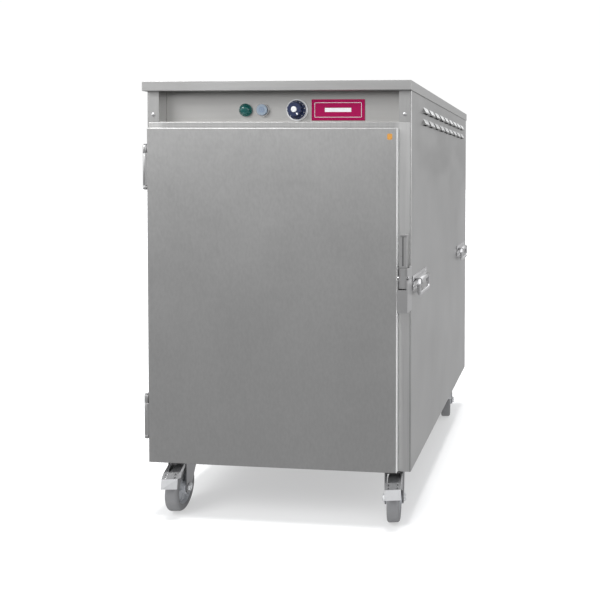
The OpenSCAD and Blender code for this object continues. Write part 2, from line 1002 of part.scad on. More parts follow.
// Section of the brake pedal's toe and its sloping upper part
pedal_section = [[-90.5, 71], [-93, 71], slope_foot, slope_top, [-75.2, 100.6], [-86, 91]];
// Outline of a pedal ear, clear of the tread
pedal_ear = [[-86.5, 91], [-76.8, 101.6], [-46, 113], [-40, 113], [-37.5, 109], [-39, 104.6],
             [-52, 101], [-64, 95.5], [-72, 88]];

// Brake pedal: flared toe in front of the tread, sloping part with holes, and two pivot ears
module caster_pedal() {
  half = 17.5;
  color("white")
    difference() {
      union() {
        translate([-half, 0, 0])
          rotate([90, 0, 90])
            linear_extrude(height = 2 * half)
              polygon(pedal_section);
        for (x = [-half, half - 2.5])
          translate([x, 0, 0])
            rotate([90, 0, 90])
              linear_extrude(height = 2.5)
                polygon(pedal_ear);
      }
      bar_x([-21, 21], pedal_pivot[0], pedal_pivot[1], 2.5 + run);
      translate([0, slope_foot[0], slope_foot[1]])
        rotate([slope_angle, 0, 0])
          for (x = [-10, 10], along = [3.5, 10.5])
            bar_z([-6, 4], x, along, 2.3);
    }
}

// ---- fasteners ---------------------------------------------------------------------------------

// Caster bolts, and the screws of the cheeks, hinges, handles and rear panel
module screws() {
  head = 2;
  color(dark_steel) {
    caster_bolts(4, [chassis_z - 6, chassis_z + plate_t]);
    caster_bolts(6.5, [chassis_z - 7.5, chassis_z - 3.02]);
    for (s = [-1, 1])
      bar_y([front_y - head, front_y - 0.02], s * (half_w - 15), rail_top + 17, 4);
    at_hinges()
      for (z = [-hinge_l / 2 + 14, 0, hinge_l / 2 - 14]) {
        bar_x([-half_w - 2.5 - head, -half_w - 2.52], front_y + 18, z, 4);
        bar_x([-half_w - 3, -half_w - 0.05], front_y + 18, z, 2);
      }
    for (s = [0, 1], y = handle_ys, sy = [-1, 1], z = handle_screw_z)
      mirror([s, 0, 0]) {
        bar_x([half_w + 2.05, half_w + 3.2], y + sy * (handle_l / 2 - 8), handle_z + z, 4);
        bar_x([half_w + 0.05, half_w + 3], y + sy * (handle_l / 2 - 8), handle_z + z, 2);
      }
    for (s = [-1, 1], z = [skirt_z + 40, 420, 680, body_h - 60])
      bar_y([rear_y + 0.02, rear_y + 1.8], s * (half_w - 8), z, 4);
  }
}

// ---- nodes -------------------------------------------------------------------------------------

chassis_frame();
left_side_panel();
right_side_panel();
rear_panel();
top_cover();
front_frame();
fascia_cheeks();
control_fascia();
insulation();
inner_liner();
tray_rack_left();
tray_rack_right();
water_tray();
heater_element();
air_baffle();
fan_motor();
fan_wheel();
pilot_lamp_body();
pilot_lamp_lens();
button_body();
button_cap();
thermostat_body();
knob_bezel();
thermostat_knob();
name_plate();
terminal_block();
wiring();
power_cable();
cable_gland();
screws();
door_outer_skin();
door_inner_skin();
door_insulation();
door_gasket();
door_strike();
hinge_frame_leaves();
hinge_door_leaves();
hinge_pins();
latch_housing();
latch_pin();
latch_lever();
latch_tongue();
handle_plates();
place_bail(-1, handle_ys[0]);  // handle_bail_front_left
place_bail(1, handle_ys[0]);  // handle_bail_front_right
place_bail(-1, handle_ys[1]);  // handle_bail_rear_left
place_bail(1, handle_ys[1]);  // handle_bail_rear_right
caster_plates();
at_caster(-1, caster_front_y, turn_fl) caster_fork();  // caster_front_left_fork
at_caster(-1, caster_front_y, turn_fl) caster_wheel();  // caster_front_left_wheel
at_caster(-1, caster_front_y, turn_fl) caster_pedal();  // caster_front_left_pedal
at_caster(1, caster_front_y, turn_fr) caster_fork();  // caster_front_right_fork
at_caster(1, caster_front_y, turn_fr) caster_wheel();  // caster_front_right_wheel
at_caster(1, caster_front_y, turn_fr) caster_pedal();  // caster_front_right_pedal
at_caster(-1, caster_rear_y, turn_rl) caster_fork();  // caster_rear_left_fork
at_caster(-1, caster_rear_y, turn_rl) caster_wheel();  // caster_rear_left_wheel
at_caster(-1, caster_rear_y, turn_rl) caster_pedal();  // caster_rear_left_pedal
at_caster(1, caster_rear_y, turn_rr) caster_fork();  // caster_rear_right_fork
at_caster(1, caster_rear_y, turn_rr) caster_wheel();  // caster_rear_right_wheel
at_caster(1, caster_rear_y, turn_rr) caster_pedal();  // caster_rear_right_pedal
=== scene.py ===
"""Looks of the insulated proofing cabinet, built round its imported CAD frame. Metres, front towards -Y."""

import json
import math

import bmesh
import bpy
from mathutils import Matrix, Vector

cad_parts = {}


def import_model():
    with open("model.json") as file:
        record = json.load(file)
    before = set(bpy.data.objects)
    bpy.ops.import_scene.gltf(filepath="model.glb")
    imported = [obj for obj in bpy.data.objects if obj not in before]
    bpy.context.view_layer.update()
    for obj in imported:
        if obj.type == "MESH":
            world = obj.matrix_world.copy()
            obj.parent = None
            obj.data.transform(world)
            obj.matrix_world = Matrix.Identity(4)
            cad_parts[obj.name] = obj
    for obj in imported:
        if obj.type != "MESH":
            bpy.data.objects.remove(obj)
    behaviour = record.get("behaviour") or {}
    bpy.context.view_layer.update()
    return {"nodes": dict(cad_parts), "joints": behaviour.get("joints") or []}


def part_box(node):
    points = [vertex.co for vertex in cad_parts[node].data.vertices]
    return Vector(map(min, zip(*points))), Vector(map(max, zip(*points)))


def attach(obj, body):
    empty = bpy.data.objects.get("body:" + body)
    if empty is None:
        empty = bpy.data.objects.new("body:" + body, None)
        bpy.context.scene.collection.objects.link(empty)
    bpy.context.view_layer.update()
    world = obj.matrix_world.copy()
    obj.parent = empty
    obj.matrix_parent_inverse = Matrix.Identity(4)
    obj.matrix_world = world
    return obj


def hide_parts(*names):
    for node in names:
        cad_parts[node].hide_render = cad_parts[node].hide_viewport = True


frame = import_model()
nodes = frame["nodes"]
joints = {j["name"]: j for j in frame["joints"]}
MM = 0.001
CORNERS = ("front_left", "front_right", "rear_left", "rear_right")


# ---- materials ---------------------------------------------------------------------------------

class Shader:
    """One material, with short ways to add nodes to it."""

    def __init__(self, name):
        self.material = bpy.data.materials.new(name)
        self.material.use_nodes = True
        self.tree = self.material.node_tree
        self.bsdf = self.tree.nodes["Principled BSDF"]
        self.place = self.add("ShaderNodeTexCoord").outputs["Object"]

    def add(self, kind, settings=None, **inputs):
        node = self.tree.nodes.new(kind)
        for key, value in (settings or {}).items():
            setattr(node, key, value)
        for key, value in inputs.items():
            self.put(node, key.replace("_", " "), value)
        return node

    def put(self, node, key, value):
        socket = node.inputs[key]
        if isinstance(value, bpy.types.NodeSocket):
            self.tree.links.new(value, socket)
        else:
            socket.default_value = value

    def set(self, **inputs):
        for key, value in inputs.items():
            self.put(self.bsdf, key.replace("_", " "), value)

    def math(self, operation, a, b):
        node = self.add("ShaderNodeMath", {"operation": operation})
        for i, value in enumerate((a, b)):
            if isinstance(value, bpy.types.NodeSocket):
                self.tree.links.new(value, node.inputs[i])
            else:
                node.inputs[i].default_value = value
        return node.outputs[0]

    def noise(self, scale, stretch=(1, 1, 1), detail=2.0, shift=(0, 0, 0)):
        mapping = self.add("ShaderNodeMapping", Vector=self.place, Scale=stretch, Location=shift)
        texture = self.add(
            "ShaderNodeTexNoise", Vector=mapping.outputs[0], Scale=scale, Detail=detail
        )
        return texture.outputs["Fac"]

    def spread(self, value, amount, middle):
        """value runs 0 to 1; the result runs about middle, amount wide."""
        return self.math("ADD", self.math("MULTIPLY", value, amount), middle - amount / 2)

    def tint(self, colour, factor):
        """colour times a grey factor."""
        node = self.add("ShaderNodeVectorMath", {"operation": "SCALE"})
        node.inputs[0].default_value = colour[:3]
        self.tree.links.new(factor, node.inputs["Scale"])
        return node.outputs[0]

    def bump(self, *layers):
        """layers are (height 0 to 1, depth in metres), added up."""
        total = None
        for height, depth in layers:
            part = self.math("MULTIPLY", height, depth)
            total = part if total is None else self.math("ADD", total, part)
        self.set(Normal=self.add("ShaderNodeBump", Height=total, Distance=1.0).outputs[0])


def steel(name, tone, rough, grain=(1, 1, 1), wave=0.0, cloud=0.06, scratch=0.05, metal=1.0,
          facing_light=None, sides=0.0, corners=0.0, reach=6 * MM, reflection_shade=0.0):
    """Stainless steel: fine grain stretched along the smallest number in grain, soft clouds, slight waves.

    facing_light (axis, metal, shade) makes the parts that face along an axis more or less metallic and paints
    them lighter or darker by shade: painted light and shade for how light falls on that side.
    sides is how much brighter the outer edges, the front frame's stiles, are painted than the middle: a
    painted highlight for the light the stiles catch.
    corners is how dark painted shade from ambient occlusion makes narrow gaps, and reach is how wide the gaps
    it reaches are.
    reflection_shade is how dark the broad patches in the upper part get: painted shade for the uneven
    reflections of a wavy panel.
    """
    s = Shader(name)
    fine = s.noise(220, grain, 3)
    clouds = s.noise(7, (1, 1, 1), 4)
    patches = s.noise(2.2, (1, 1, 1), 2, (3, 1, 7))
    shade = s.math(
        "MULTIPLY",
        s.math("MULTIPLY", s.spread(fine, scratch, 1.0), s.spread(clouds, cloud, 1.0)),
        s.spread(patches, cloud, 1.0),
    )
    metallic = metal
    # painted light and shade: faces that point along the axis are made lighter or darker, and more or less
    # metallic
    if facing_light:
        axis, metal_change, shade_change = facing_light
        normal = s.add("ShaderNodeNewGeometry").outputs["True Normal"]
        part = s.add("ShaderNodeSeparateXYZ", Vector=normal).outputs[axis]
        mask = s.add("ShaderNodeMapRange", Value=part, From_Min=0.2, From_Max=0.35).outputs[0]
        metallic = s.math("ADD", s.math("MULTIPLY", mask, metal_change), metal)
        shade = s.math("ADD", shade, s.math("MULTIPLY", mask, shade_change))
    # painted highlight: the stiles at the outer edges of the front frame are made brighter
    if sides:
        across = s.add("ShaderNodeSeparateXYZ", Vector=s.place).outputs["X"]
        outer = s.add("ShaderNodeMapRange", Value=s.math("ABSOLUTE", across, 0.0),
                      From_Min=0.262, From_Max=0.275, To_Min=1.0, To_Max=1.0 + sides)
        shade = s.math("MULTIPLY", shade, outer.outputs[0])
    # painted shade: ambient occlusion darkens narrow gaps and seams
    if corners:
        gap_shade = s.add("ShaderNodeAmbientOcclusion", {"samples": 8}, Distance=reach).outputs["AO"]
        shade = s.math("MULTIPLY", shade, s.spread(gap_shade, corners, 1.0 - corners / 2))
    # painted shade: dark patches in the upper part stand in for uneven reflections
    if reflection_shade:
        up = s.add("ShaderNodeSeparateXYZ", Vector=s.place).outputs["Z"]
        high = s.add("ShaderNodeMapRange", {"interpolation_type": "SMOOTHSTEP"}, Value=up,
                     From_Min=0.60, From_Max=0.78).outputs[0]
        patch = s.add("ShaderNodeMapRange", {"interpolation_type": "SMOOTHSTEP"},
                      Value=s.noise(6, (1, 0.35, 1), 3, (2, 0.4, 1)),
                      From_Min=0.42, From_Max=0.62).outputs[0]
        dark = s.math("MULTIPLY", s.math("MULTIPLY", high, patch), -reflection_shade)
        shade = s.math("MULTIPLY", shade, s.math("ADD", dark, 1.0))
    s.set(
        Base_Color=s.tint(tone, shade),
        Metallic=metallic,
        Roughness=s.math("ADD", s.spread(fine, 0.10, rough), s.spread(clouds, 0.06, 0.0)),
    )
    s.bump((fine, 6e-6), (s.noise(5, (1, 1, 0.6), 1.5, (5, 2, 0)), wave), (clouds, wave * 0.2))
    return s.material


def plastic(name, colour, rough, texture=0.0, speck=0.08, **more):
    """Moulded plastic or rubber with a slightly uneven surface."""
    s = Shader(name)
    fine = s.noise(900, detail=3)
    broad = s.noise(25, detail=2)
    shade = s.math("MULTIPLY", s.spread(fine, speck, 1.0), s.spread(broad, speck, 1.0))
    s.set(
        Base_Color=s.tint(colour, shade),
        Roughness=s.spread(broad, 0.12, rough),
        **more,
    )
    s.bump((fine, texture))
    return s.material


MATERIALS = {
    # painted light: the door's side faces towards +X are lighter and less metallic, as if lit from that side
    "door": steel("satin_door", (0.62, 0.62, 0.615), 0.36, (1, 1, 0.5), 0.0006, 0.06, 0.16,
                  facing_light=("X", -0.7, 0.3)),
    # painted highlight: faces pointing up, such as the louvre hoods, are lighter and less metallic; painted
    # shade: dark patches in the upper part
    "panel": steel("satin_panel", (0.60, 0.60, 0.595), 0.33, (1, 1, 0.05), 0.0030, 0.26,
                   facing_light=("Z", -0.8, 0.4), reflection_shade=0.16),
    # painted highlight on the stiles at both outer edges; painted shade in narrow gaps and seams
    "front": steel("satin_front", (0.63, 0.63, 0.625), 0.36, (1, 1, 0.02), 0.0003, 0.06, 0.22,
                   sides=0.3, corners=0.5),
    "cheek": steel("satin_cheek", (0.61, 0.61, 0.605), 0.34, (1, 1, 0.05), 0.0003, 0.08, 0.14),
    "cross": steel("satin_cross", (0.58, 0.58, 0.575), 0.34, (0.05, 1, 1), 0.0003),
    "fascia": steel("satin_fascia", (0.66, 0.655, 0.64), 0.34, (0.05, 1, 1), 0.0003),
    "inner": steel("mill_inner", (0.68, 0.68, 0.67), 0.28, (1, 1, 0.2), 0.0005),
    # painted shade in narrow gaps of the fittings
    "fitting": steel("satin_fitting", (0.70, 0.70, 0.70), 0.30, (1, 1, 1), 0.0, 0.04, corners=0.8),
    # painted shade in narrow gaps of the chrome parts
    "chrome": steel("bright_chrome", (0.80, 0.80, 0.81), 0.10, (1, 1, 1), 0.0, 0.02, 0.02,
                    corners=0.6),
    "ring": steel("silver_ring", (0.86, 0.87, 0.88), 0.30, (1, 1, 1), 0.0, 0.03, 0.03, metal=0.35),
    # painted shade: ambient occlusion darkens the caster forks up to 20 mm into their hollows
    "pressed": steel("pressed_steel", (0.50, 0.50, 0.51), 0.40, (1, 1, 1), 0.0, 0.20, 0.12,
                     corners=0.9, reach=20 * MM),
    # painted shade: the pedal's upward slopes are darker and not metallic, in place of the bright sky they
    # reflect
    "pedal": steel("pedal_steel", (0.64, 0.64, 0.65), 0.34, (1, 1, 1), 0.0, 0.10, 0.08, 0.45,
                   ("Z", -0.45, -0.80)),
    # painted shade: ambient occlusion darkens the caster plates up to 20 mm into their hollows
    "zinc": steel("zinc_plate", (0.60, 0.60, 0.62), 0.34, (1, 1, 1), 0.0, 0.14, 0.10,
                  corners=0.8, reach=20 * MM),
    "dark_steel": steel("dark_steel", (0.26, 0.26, 0.27), 0.45, (1, 1, 1), 0.0, 0.12, 0.10),
    "tread": plastic("grey_tread", (0.19, 0.19, 0.195), 0.55, 2e-5),
    "hub": plastic("hub_plastic", (0.40, 0.41, 0.43), 0.45, 1e-5),
    "foam": plastic("rigid_foam", (0.86, 0.76, 0.48), 0.85, 3e-4, 0.2),
    "rubber": plastic("seal_rubber", (0.03, 0.03, 0.032), 0.55, 2e-5),
    "black": plastic("black_plastic", (0.015, 0.017, 0.03), 0.32, 8e-6),
    "navy": plastic("knob_plastic", (0.012, 0.022, 0.070), 0.30, 5e-6, 0.06, Coat_Weight=0.2),
    "white": plastic("white_plastic", (0.78, 0.80, 0.83), 0.25, 4e-6, 0.04),
    "pale_blue": plastic("pale_blue_plastic", (0.27, 0.33, 0.40), 0.25, 4e-6, 0.04),
    "mark": plastic("print_white", (0.85, 0.86, 0.88), 0.4, 0.0, 0.03),
    "blue_mark": plastic("print_blue", (0.16, 0.22, 0.36), 0.4, 0.0, 0.05),
    "amber": plastic("amber_label", (0.52, 0.24, 0.04), 0.4, 0.0, 0.06),
    "crimson": plastic(
        "crimson_enamel", (0.38, 0.001, 0.08), 0.45, 3e-6, 0.06, Specular_IOR_Level=0.15
    ),
    "green": plastic(
        "green_lens", (0.004, 0.09, 0.085), 0.14, 4e-6, 0.08,
        Coat_Weight=0.3, Transmission_Weight=0.25,
        Emission_Color=(0.0, 0.24, 0.20, 1), Emission_Strength=0.06,
    ),
    "wire": plastic("wire_sheath", (0.02, 0.02, 0.022), 0.4, 1e-5),
    "ceramic": plastic("terminal_ceramic", (0.70, 0.69, 0.64), 0.5, 1e-5),
}

# CAD node: material, the record's slot, width of the rounded edges in mm
LOOKS = {
    "chassis_frame": ("dark_steel", "stainless_inner", 0.6),
    "left_side_panel": ("panel", "stainless_panel", 0.5),
    "right_side_panel": ("panel", "stainless_panel", 0.5),
    "rear_panel": ("panel", "stainless_panel", 0.4),
    "top_cover": ("cross", "stainless_panel", 0.7),
    "front_frame": ("front", "stainless_panel", 0.6),
    "fascia_cheeks": ("cheek", "stainless_panel", 0.4),
    "control_fascia": ("fascia", "stainless_panel", 0.4),
    "insulation": ("foam", "foam", 0.0),
    "inner_liner": ("inner", "stainless_inner", 0.3),
    "tray_rack_left": ("inner", "stainless_inner", 0.3),
    "tray_rack_right": ("inner", "stainless_inner", 0.3),
    "water_tray": ("inner", "stainless_inner", 0.4),
    "heater_element": ("dark_steel", "zinc_steel", 0.0),
    "air_baffle": ("inner", "stainless_inner", 0.3),
    "fan_motor": ("dark_steel", "zinc_steel", 0.8),
    "fan_wheel": ("zinc", "zinc_steel", 0.3),
    "pilot_lamp_body": ("green", "green_lens", 0.4),
    "pilot_lamp_lens": ("green", "green_lens", 0.0),
    "button_body": ("chrome", "chrome_fittings", 0.5),
    "button_cap": ("pale_blue", "white_plastic", 0.6),
    "thermostat_body": ("black", "black_plastic", 0.6),
    "knob_bezel": ("ring", "chrome_fittings", 0.6),
    "name_plate": ("crimson", "crimson_plate", 0.3),
    "terminal_block": ("ceramic", "white_plastic", 0.6),
    "wiring": ("wire", "black_plastic", 0.0),
    "power_cable": ("wire", "black_plastic", 0.8),
    "cable_gland": ("black", "black_plastic", 0.5),
    "door_outer_skin": ("door", "stainless_panel", 0.6),
    "door_inner_skin": ("inner", "stainless_inner", 0.6),
    "door_insulation": ("foam", "foam", 0.0),
    "door_gasket": ("rubber", "seal_rubber", 1.2),
    "door_strike": ("fitting", "stainless_fittings", 0.3),
    "hinge_frame_leaves": ("fitting", "stainless_fittings", 0.4),
    "hinge_door_leaves": ("fitting", "stainless_fittings", 0.4),
    "hinge_pins": ("chrome", "stainless_fittings", 0.4),
    "latch_housing": ("fitting", "stainless_fittings", 0.6),
    "latch_pin": ("chrome", "chrome_fittings", 0.5),
    "latch_lever": ("fitting", "stainless_fittings", 0.8),
    "latch_tongue": ("chrome", "stainless_fittings", 0.5),
    "handle_plates": ("chrome", "chrome_fittings", 0.5),
    "caster_plates": ("zinc", "zinc_steel", 0.5),
}
for corner in CORNERS:
    LOOKS[f"caster_{corner}_fork"] = ("pressed", "zinc_steel", 0.6)
    LOOKS[f"caster_{corner}_pedal"] = ("pedal", "zinc_steel", 0.8)


def dress(name, look, edge):
    """Gives a CAD node its material, and rounds its edges by a modifier."""
    o = nodes[name]
    o.data.materials.clear()
    o.data.materials.append(MATERIALS[look])
    weld = o.modifiers.new("weld", "WELD")
    weld.merge_threshold = 1e-6
    if edge:
        bevel = o.modifiers.new("bevel", "BEVEL")
        bevel.width = edge * MM
        bevel.segments = 2
        bevel.limit_method = "ANGLE"
        bevel.angle_limit = math.radians(35)
        bevel.use_clamp_overlap = True
        bevel.harden_normals = True


def rolled(name, radius, on_edge):
    """Rounds the folded edges whose vertices all satisfy on_edge, before the fine bevel."""
    o = nodes[name]
    group = o.vertex_groups.new(name="rolled")
    picked = [v.index for v in o.data.vertices if on_edge(o.matrix_world @ v.co)]
    group.add(picked, 1.0, "REPLACE")
    flat = o.modifiers.new("flat", "DECIMATE")
    flat.decimate_type = "DISSOLVE"
    flat.angle_limit = math.radians(0.5)
    bevel = o.modifiers.new("rolled", "BEVEL")
    bevel.width = radius * MM
    bevel.segments = 4
    bevel.limit_method = "VGROUP"
    bevel.vertex_group = "rolled"
    bevel.use_clamp_overlap = False
    for extra in ("rolled", "flat"):
        o.modifiers.move(o.modifiers.find(extra), 1)


for name, (look, slot, edge) in LOOKS.items():
    dress(name, look, edge)

HAIR = 1e-5
for side in ("left", "right"):
    lo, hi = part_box(f"{side}_side_panel")
    outer = 0.3 if side == "right" else -0.3
    rolled(f"{side}_side_panel", 2.8,
           lambda p, x=outer, y=lo.y: abs(p.x - x) < HAIR and abs(p.y - y) < HAIR)


def door_rim(lo, hi):
    """Test for the outline of the door's front face."""
    def on_edge(p):
        return abs(p.y - lo.y) < HAIR and (
            min(abs(p.x - lo.x), abs(p.x - hi.x), abs(p.z - lo.z), abs(p.z - hi.z)) < HAIR)
    return on_edge


rolled("door_outer_skin", 1.8, door_rim(*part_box("door_outer_skin")))


# ---- shapes ------------------------------------------------------------------------------------

def about(origin, axis, up=None):
    """Matrix that puts local Z along axis at origin; up, if given, sets the direction of local Y."""
    z = Vector(axis).normalized()
    if up is None:
        up = Vector((0, 0, 1)) if abs(z.z) < 0.9 else Vector((0, 1, 0))
    y = (Vector(up) - z * z.dot(Vector(up))).normalized()
    x = y.cross(z)
    m = Matrix((x, y, z)).transposed().to_4x4()
    m.translation = Vector(origin)
    return m


def rounded(path, bend, steps=6):
    """The points of path with each inner corner turned into an arc of radius bend."""
    path = [Vector(p) for p in path]
    out = [path[0]]
    for a, b, c in zip(path, path[1:], path[2:]):
        u, v = (a - b).normalized(), (c - b).normalized()
        half = u.angle(v) / 2
        reach = min(bend / math.tan(half), (a - b).length * 0.49, (c - b).length * 0.49)
        start, end = b + u * reach, b + v * reach
        centre = b + (u + v).normalized() * (reach / math.cos(half))
        for i in range(steps + 1):
            direction = (start - centre).lerp(end - centre, i / steps).normalized()
            out.append(centre + direction * (start - centre).length)
    out.append(path[-1])
    return out


class Piece:
    """One visible piece, put together from simple solids in the frame's coordinates."""

    def __init__(self, name):
        self.name = name
        self.bm = bmesh.new()

    def box(self, lo, hi, place=Matrix()):
        lo, hi = Vector(lo), Vector(hi)
        size = Matrix.Diagonal((*(hi - lo), 1))
        where = place @ Matrix.Translation((lo + hi) / 2) @ size
        bmesh.ops.create_cube(self.bm, size=1.0, matrix=where)
        return self

    def turned(self, profile, place, steps=48):
        """profile: (radius, height) points, turned about local Z. A radius of 0 closes the end."""
        rings = []
        for r, h in profile:
            if r < 1e-9:
                rings.append([self.bm.verts.new(place @ Vector((0, 0, h)))])
                continue
            rings.append([
                self.bm.verts.new(place @ Vector((
                    r * math.cos(2 * math.pi * i / steps), r * math.sin(2 * math.pi * i / steps), h
                )))
                for i in range(steps)
            ])
        for a, b in zip(rings, rings[1:]):
            for i in range(steps):
                j = (i + 1) % steps
                corners = [a[i % len(a)], a[j % len(a)], b[j % len(b)], b[i % len(b)]]
                corners = list(dict.fromkeys(corners))
                if len(corners) > 2:
                    self.bm.faces.new(corners)
        return self

    def rod(self, path, radius, place=Matrix(), sides=20):
        """A round rod along the points of path."""
        points = [place @ Vector(p) for p in path]
        points = [p for i, p in enumerate(points) if i == 0 or (p - points[i - 1]).length > 1e-7]
        rings, side = [], None
        for i, p in enumerate(points):
            ahead = points[min(i + 1, len(points) - 1)] - points[max(i - 1, 0)]
            ahead.normalize()
            if side is None:
                side = ahead.orthogonal().normalized()
            side = (side - ahead * side.dot(ahead)).normalized()
            other = ahead.cross(side)
            rings.append([
                self.bm.verts.new(p + radius * (
                    side * math.cos(2 * math.pi * k / sides) + other * math.sin(2 * math.pi * k / sides)
                ))
                for k in range(sides)
            ])
        for a, b in zip(rings, rings[1:]):
            for k in range(sides):
                self.bm.faces.new([a[k], a[(k + 1) % sides], b[(k + 1) % sides], b[k]])
        self.bm.faces.new(list(reversed(rings[0])))
        self.bm.faces.new(rings[-1])
        return self

    def slab(self, outline, depth, place):
        """A flat outline in local XY, as thick as depth along local Z."""
        low = [self.bm.verts.new(place @ Vector((x, y, 0))) for x, y in outline]
        high = [self.bm.verts.new(place @ Vector((x, y, depth))) for x, y in outline]
        count = len(outline)
        self.bm.faces.new(list(reversed(low)))
        self.bm.faces.new(high)
        for i in range(count):
            j = (i + 1) % count
            self.bm.faces.new([low[i], low[j], high[j], high[i]])
        return self

    def done(self, look, body, slot, edge=0.0, angle=35, replaces=()):
        bmesh.ops.recalc_face_normals(self.bm, faces=self.bm.faces)
        mesh = bpy.data.meshes.new(self.name)
        self.bm.to_mesh(mesh)
        self.bm.free()
        mesh.materials.append(MATERIALS[look])
        mesh.polygons.foreach_set("use_smooth", [True] * len(mesh.polygons))
        mesh.set_sharp_from_angle(angle=math.radians(angle))
        o = bpy.data.objects.new(self.name, mesh)
        bpy.context.scene.collection.objects.link(o)
        if edge:
            bevel = o.modifiers.new("bevel", "BEVEL")
            bevel.width = edge * MM
            bevel.segments = 2
            bevel.limit_method = "ANGLE"
            bevel.angle_limit = math.radians(35)
            bevel.harden_normals = True
        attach(o, body)
        if replaces:
            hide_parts(*replaces)
        return o


def hexagon(across):
    """Outline of a hexagon by its width across the flats."""
    r = across / math.sqrt(3)
    return [(r * math.cos(math.pi * i / 3), r * math.sin(math.pi * i / 3)) for i in range(6)]


def rounded_box(width, height, corner, steps=5):
    """Outline of a rectangle with round corners, about its middle."""
    out = []
    for sx, sy, start in ((1, 1, 0), (-1, 1, 90), (-1, -1, 180), (1, -1, 270)):
        cx, cy = sx * (width / 2 - corner), sy * (height / 2 - corner)
        for i in range(steps + 1):
            a = math.radians(start + 90 * i / steps)
            out.append((cx + corner * math.cos(a), cy + corner * math.sin(a)))
    return out


FRONT = (0, -1, 0)


# ---- side handles ------------------------------------------------------------------------------

def bail(corner):
    """Bent rod with its ends in the hinge tube."""
    lo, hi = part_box(f"handle_bail_{corner}")
    r = 4.5 * MM
    x, y = (lo.x + hi.x) / 2, (lo.y + hi.y) / 2
    half, top, low = (hi.y - lo.y) / 2 - r, hi.z - r, lo.z + r
    end = half - 28 * MM
    path = [(x, y - end, top), (x, y - half, top), (x, y - half, low),
            (x, y + half, low), (x, y + half, top), (x, y + end, top)]
    Piece(f"bail_{corner}").rod(rounded(path, 8 * MM), r - 0.2 * MM).done(
        "chrome", f"bail_{corner}", "chrome_fittings", replaces=[f"handle_bail_{corner}"]
    )


for corner in CORNERS:
    bail(corner)


# ---- casters -----------------------------------------------------------------------------------

def wheel(corner):
    """Grey tyre on a ribbed centre, with a bearing cover on each side."""
    joint = joints[f"wheel_{corner}_spin"]
    centre, axis = Vector(joint["pos_m"]), Vector(joint["axis"])
    lo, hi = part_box(f"caster_{corner}_wheel")
    r = (hi.z - lo.z) / 2
    place = about(centre, axis)
    half, rim, body = 14 * MM, 36 * MM, f"wheel_{corner}"
    shoulder = 6 * MM
    arc = [
        (r - shoulder + shoulder * math.sin(a), -half + shoulder - shoulder * math.cos(a))
        for a in [math.radians(10 * i) for i in range(10)]
    ]
    tyre = [(rim, -half + MM)] + [(rim + 1.5 * MM, -half)] + arc
    tyre += [(p, -q) for p, q in reversed(tyre)]
    tyre += [tyre[0]]
    Piece(f"tyre_{corner}").turned(tyre, place, 96).done("tread", body, "grey_tread", angle=50)
    hub = [(6.4, -17.4), (13.4, -17.4), (14.6, -16.2), (15.6, -8.4), (31, -6), (33.6, -11), (36, -12.4),
           (36, 12.4), (33.6, 11), (31, 6), (15.6, 8.4), (14.6, 16.2), (13.4, 17.4), (6.4, 17.4), (6.4, -17.4)]
    piece = Piece(f"wheel_centre_{corner}").turned([(a * MM, b * MM) for a, b in hub], place, 72)
    for i in range(6):
        spin = place @ Matrix.Rotation(math.radians(60 * i), 4, "Z")
        for side in (-1, 1):
            piece.box((14.8 * MM, -1.4 * MM, min(side * 5.6, side * 9.6) * MM),
                      (33 * MM, 1.4 * MM, max(side * 5.6, side * 9.6) * MM), spin)
    piece.done("hub", body, "grey_tread", replaces=[f"caster_{corner}_wheel"])
    for side in (-1, 1):
        cover = about(centre + axis * side * 17.2 * MM, axis * side)
        Piece(f"bearing_cover_{corner}_{'in' if side < 0 else 'out'}").turned(
            [(7 * MM, -2 * MM), (12.4 * MM, -2 * MM), (12.4 * MM, 0.3 * MM), (11.4 * MM, 0.6 * MM),
             (7 * MM, 0.6 * MM), (7 * MM, -2 * MM)], cover, 40
        ).done("zinc", body, "zinc_steel")


def axle_nuts(corner):
    """Hexagon head and nut on the ends of the axle bolt."""
    joint = joints[f"wheel_{corner}_spin"]
    centre, axis = Vector(joint["pos_m"]), Vector(joint["axis"])
    piece = Piece(f"axle_nuts_{corner}")
    for side in (-1, 1):
        place = about(centre + axis * side * 20.9 * MM, axis * side)
        piece.slab(hexagon(15.6 * MM), 4.2 * MM, place @ Matrix.Rotation(0.3 + side * 0.2, 4, "Z"))
        piece.turned([(6 * MM, 4 * MM), (5.8 * MM, 4.9 * MM), (4.4 * MM, 5.4 * MM), (0, 5.5 * MM)], place, 32)
    piece.done("ring", f"swivel_{corner}", "zinc_steel", edge=0.7)


for corner in CORNERS:
    wheel(corner)
    axle_nuts(corner)


# ---- controls ----------------------------------------------------------------------------------

